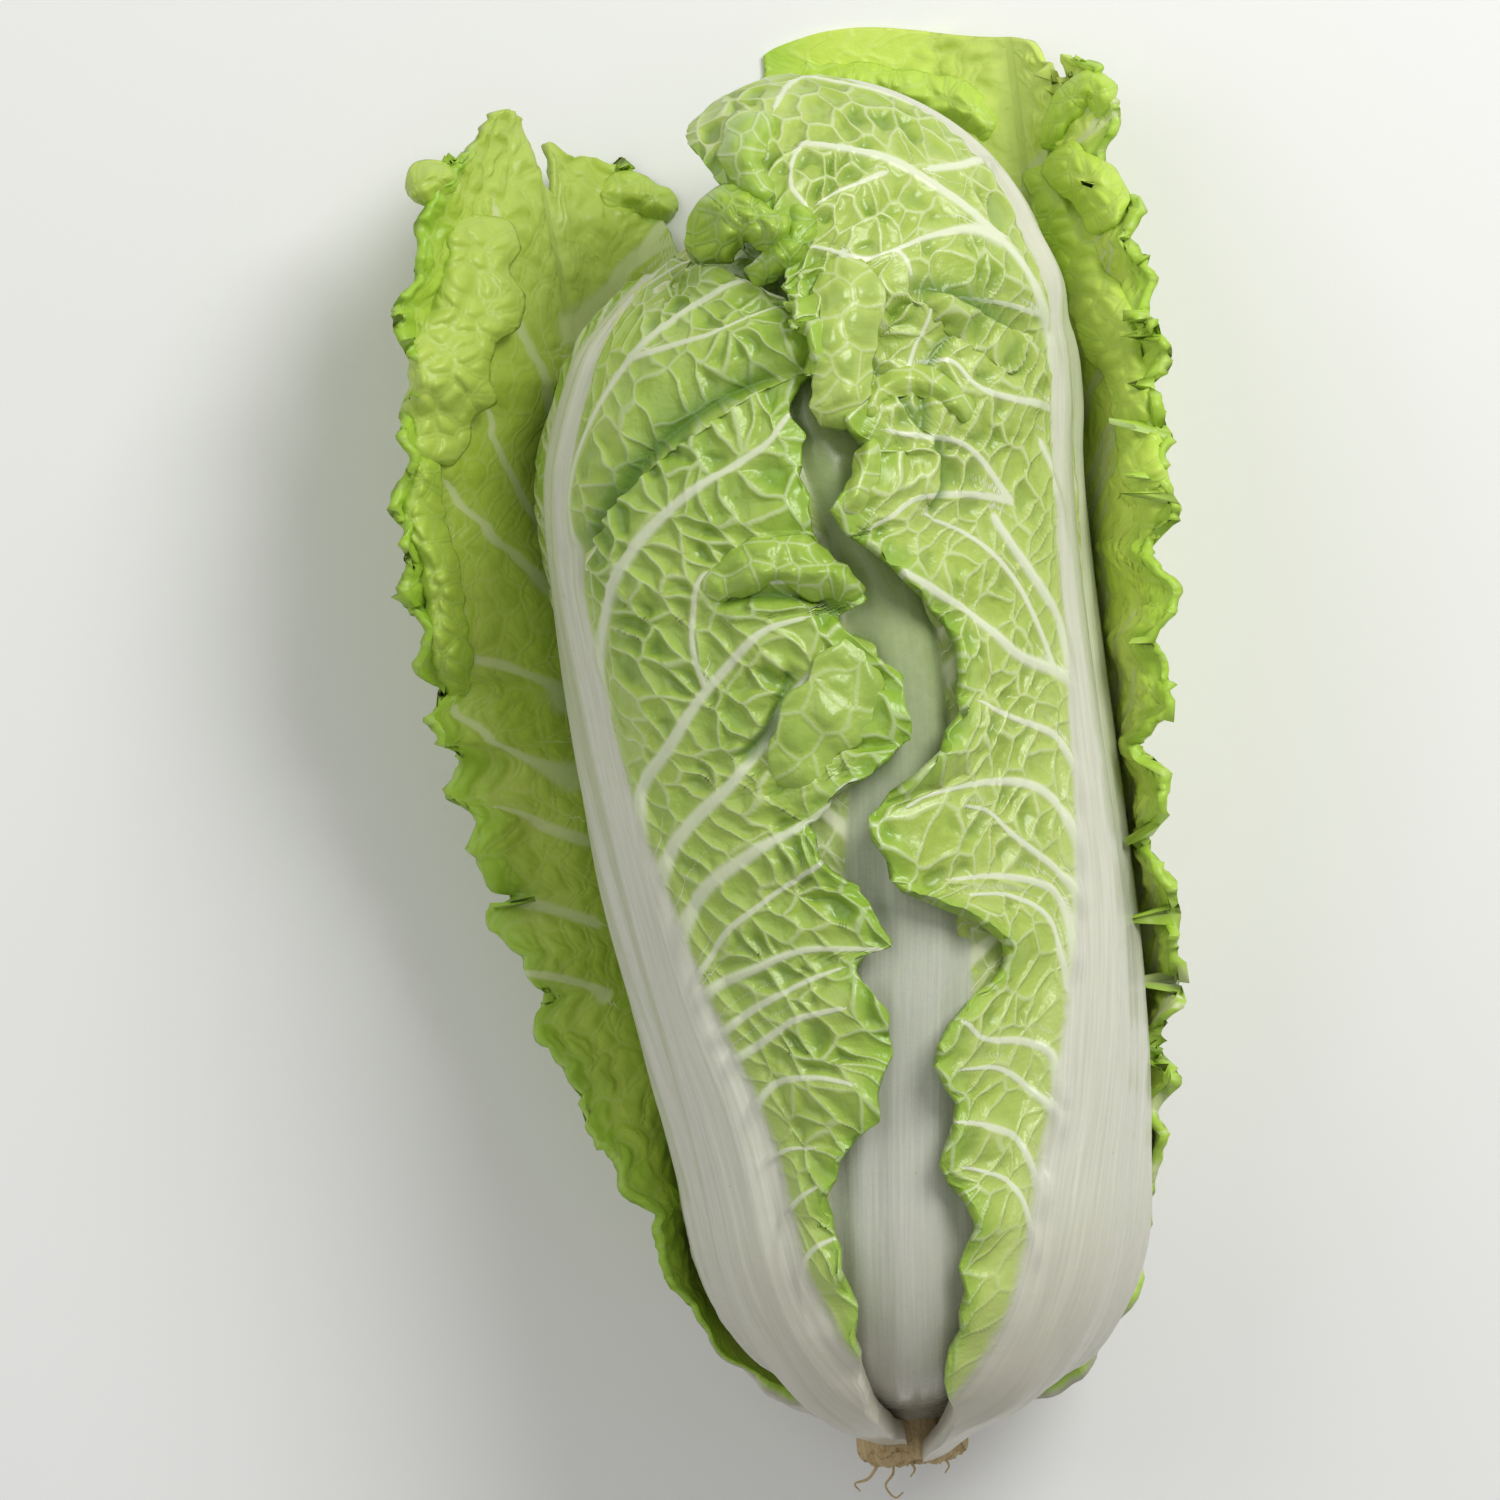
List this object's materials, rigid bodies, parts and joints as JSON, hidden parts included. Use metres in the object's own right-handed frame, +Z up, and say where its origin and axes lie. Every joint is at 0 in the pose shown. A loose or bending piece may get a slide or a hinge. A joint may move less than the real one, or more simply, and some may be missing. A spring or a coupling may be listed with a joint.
{
  "type": "napa cabbage",
  "caption": "Head of napa cabbage lying on its side, with broad white ribs, wrinkled green leaves closed over a pale heart, and two outer leaves opening at its sides.",
  "frame": {"origin": "on the surface that the head rests on, under the middle of its axis", "axes": "+Y along the head's axis from the cut stem to the leaf tips, +Z up, +X to the right of the head when seen from above with its tips away"},
  "size_m": [0.1825, 0.331, 0.1276],
  "materials": {
    "stem": "dull, fibrous, dry at the cut",
    "heart_leaf": "soft sheen, pale yellow-green",
    "white_rib": "smooth, moist, white",
    "head_leaf": "soft sheen, wrinkled, with white veins",
    "wrapper_leaf": "soft sheen, wrinkled, fresh green"
  },
  "bodies": {
    "root": {"stem": "stem", "heart": "heart_leaf", "inner_leaf_back": "heart_leaf", "inner_leaf_left": "heart_leaf", "inner_leaf_right": "heart_leaf", "inner_leaf_front": "white_rib", "head_leaf_left": "head_leaf", "head_leaf_right": "head_leaf", "wrapper_leaf_left": "wrapper_leaf", "wrapper_leaf_right": "wrapper_leaf"}
  },
  "joints": []
}
